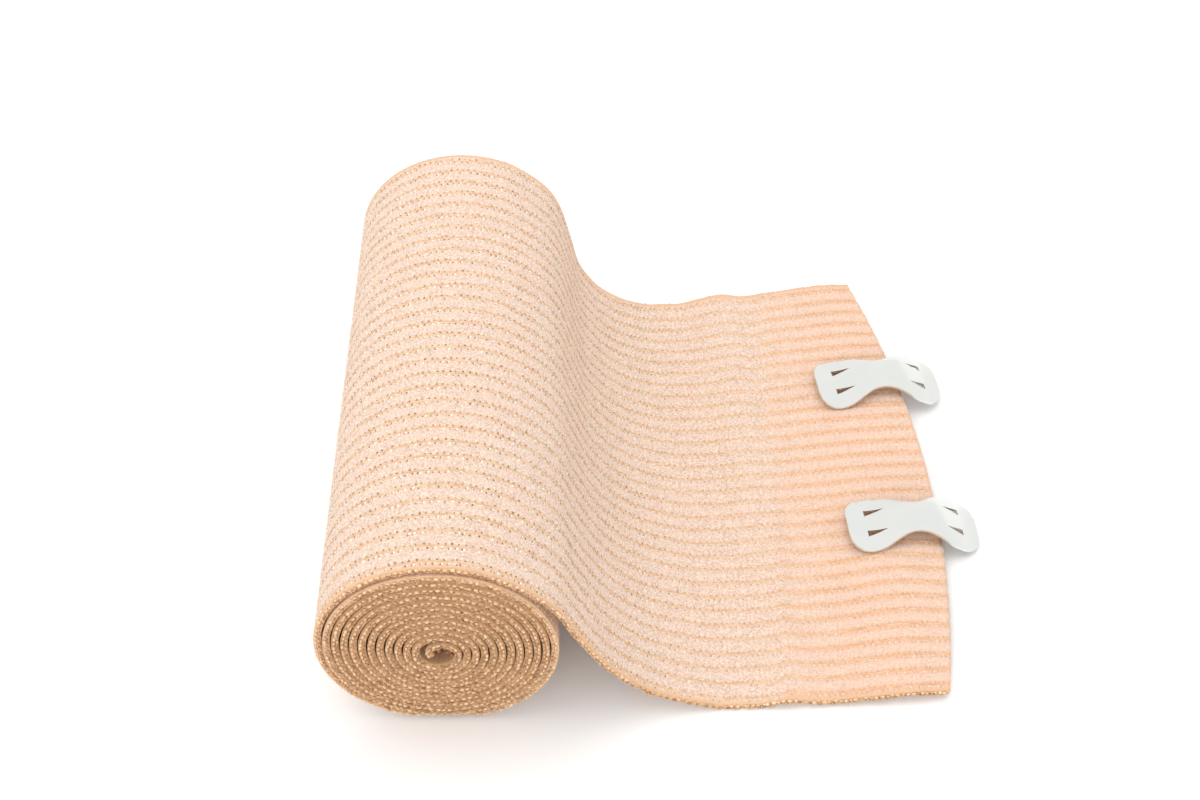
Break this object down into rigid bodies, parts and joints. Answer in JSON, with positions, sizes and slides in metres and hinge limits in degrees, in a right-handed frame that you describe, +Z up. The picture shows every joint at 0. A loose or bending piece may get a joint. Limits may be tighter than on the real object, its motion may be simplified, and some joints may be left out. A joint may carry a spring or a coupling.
{
  "type": "elastic bandage",
  "caption": "Wound roll of knitted elastic bandage with its free end drawn out flat and small arched metal clips hooked into that end.",
  "frame": {"origin": "middle of the bounding box, on the surface that the roll and the tail lie on", "axes": "+Z up, +X from the roll along the unrolled tail to its free end, +Y along the roll's axis, away from the end face that the picture shows"},
  "size_m": [0.115, 0.1018, 0.0399],
  "materials": {
    "knit": "knitted cotton and rubber, matt, pale pink-beige with orange-tan stitch rows",
    "metal": "satin pale grey stamped sheet"
  },
  "bodies": {
    "root": {"bandage": "knit", "clip_near": "metal", "clip_far": "metal"}
  },
  "joints": []
}
